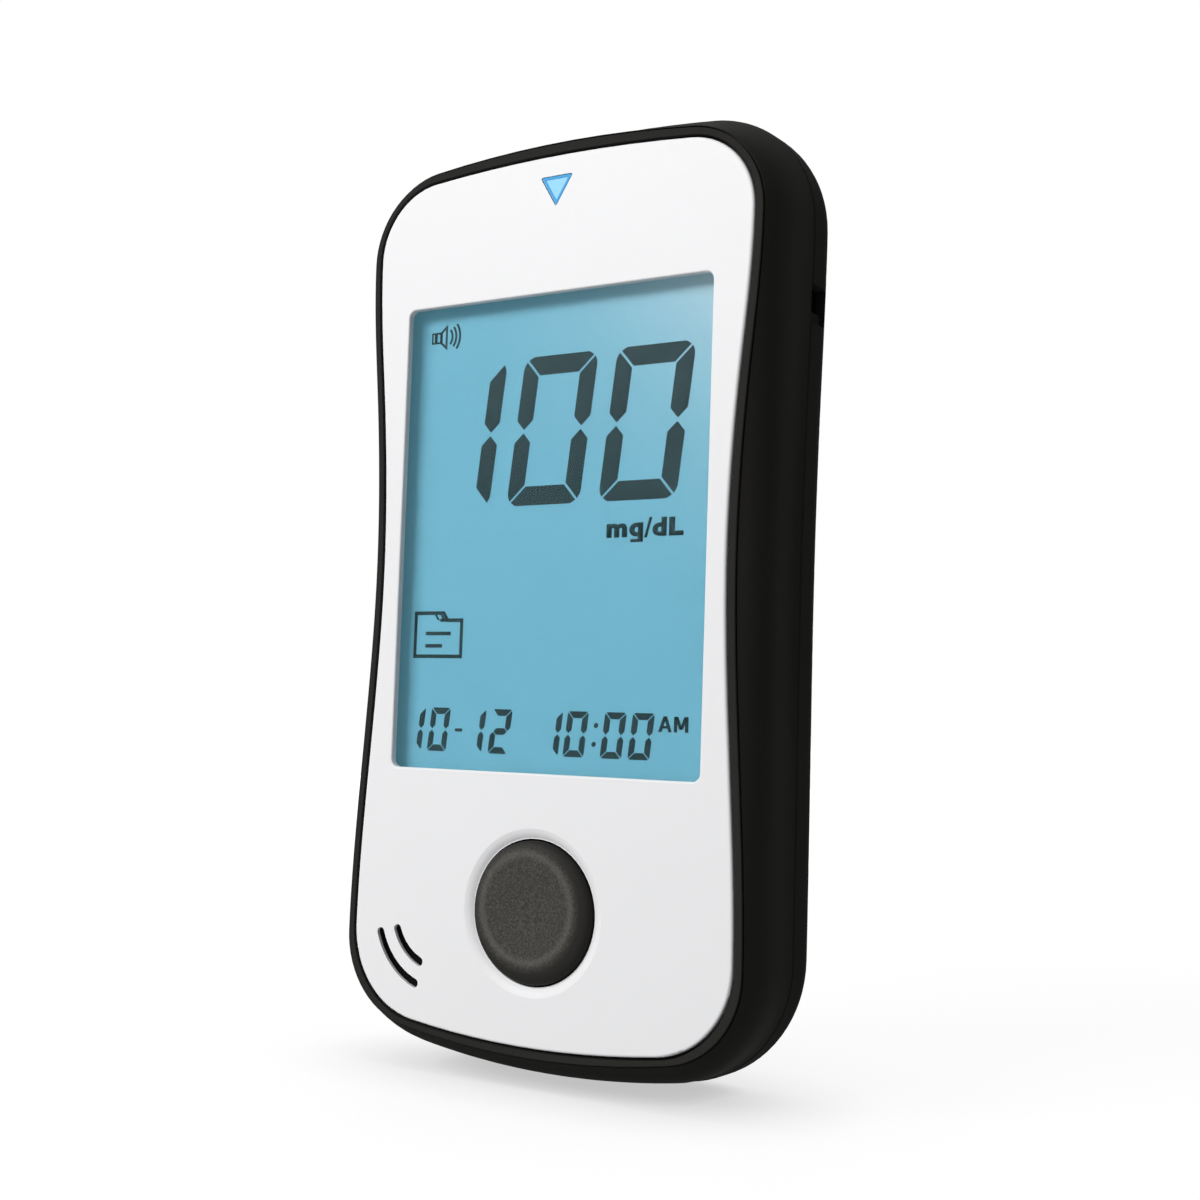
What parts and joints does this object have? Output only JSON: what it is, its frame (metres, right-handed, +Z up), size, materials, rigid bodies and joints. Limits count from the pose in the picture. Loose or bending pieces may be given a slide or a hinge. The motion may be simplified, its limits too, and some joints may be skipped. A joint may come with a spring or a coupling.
{
  "type": "blood glucose meter",
  "caption": "Hand-held blood glucose meter with a large lit display, one round key, a speaker, a test strip port with ejector and a battery cover.",
  "frame": {"origin": "centre of the foot of the case: the middle of the overall width and depth, at the lowest point", "axes": "+X to the right seen from the front, +Y from the display towards the back, +Z up along the length towards the test strip port"},
  "size_m": [0.0524, 0.0182, 0.1067],
  "materials": {
    "black_case": "fine matt black moulding",
    "white_face": "smooth white",
    "blue_window": "translucent pale blue",
    "clear_lens": "clear",
    "lcd": "lit blue display",
    "light_guide": "frosted",
    "white_frame": "satin",
    "soft_rubber": "soft",
    "key_rubber": "dark warm grey, finely speckled",
    "steel": "nickel plated",
    "board": "green solder resist",
    "led": "clear",
    "chip": "matt black",
    "switch_body": "matt",
    "switch_key": "satin",
    "mesh": "fine black cloth",
    "cone": "thin film",
    "socket": "satin",
    "gold": "gold plated",
    "cell": "plain grey sleeve"
  },
  "bodies": {
    "case": {"front_housing": "black_case", "back_housing": "black_case", "face_plate": "white_face", "indicator_window": "blue_window", "display_lens": "clear_lens", "lcd_glass": "lcd", "backlight_panel": "light_guide", "lcd_holder": "white_frame", "zebra_strip": "soft_rubber", "dome_switch": "steel", "circuit_board": "board", "indicator_led": "led", "voice_chip": "chip", "timing_crystal": "steel", "main_chip": "chip", "set_switch": "switch_body", "housing_screws": "steel", "board_screws": "steel", "speaker_mesh": "mesh", "speaker_gasket": "soft_rubber", "speaker_frame": "steel", "speaker_cone": "cone", "strip_socket": "socket", "strip_contacts": "gold", "slot_guide": "blue_window", "ejector_spring": "steel", "battery_left": "cell", "battery_right": "cell", "battery_bridge": "steel", "battery_plus": "steel", "battery_minus": "steel"},
    "main_button": {"main_button": "key_rubber"},
    "set_key": {"set_key": "switch_key"},
    "strip_ejector": {"ejector_slider": "black_case", "ejector_arm": "white_frame"},
    "battery_cover": {"battery_cover": "black_case"}
  },
  "joints": [
    {"name": "main_button_press", "type": "slide", "parent": "case", "child": "main_button", "axis": [0, 1, 0], "range_m": [0, 0.0006], "stiffness_N_per_m": 800, "springref_m": -0.0008},
    {"name": "set_key_press", "type": "slide", "parent": "case", "child": "set_key", "axis": [0, -1, 0], "range_m": [0, 0.00025], "stiffness_N_per_m": 600, "springref_m": -0.0005},
    {"name": "ejector_slide", "type": "slide", "parent": "case", "child": "strip_ejector", "axis": [0, 0, 1], "range_m": [0, 0.0025], "stiffness_N_per_m": 150, "springref_m": -0.002, "deforming": ["ejector_spring"]},
    {"name": "battery_cover_hinge", "type": "hinge", "parent": "case", "child": "battery_cover", "pos_m": [0, 0.0091, 0.0062], "axis": [-1, 0, 0], "range_deg": [0, 70]}
  ]
}
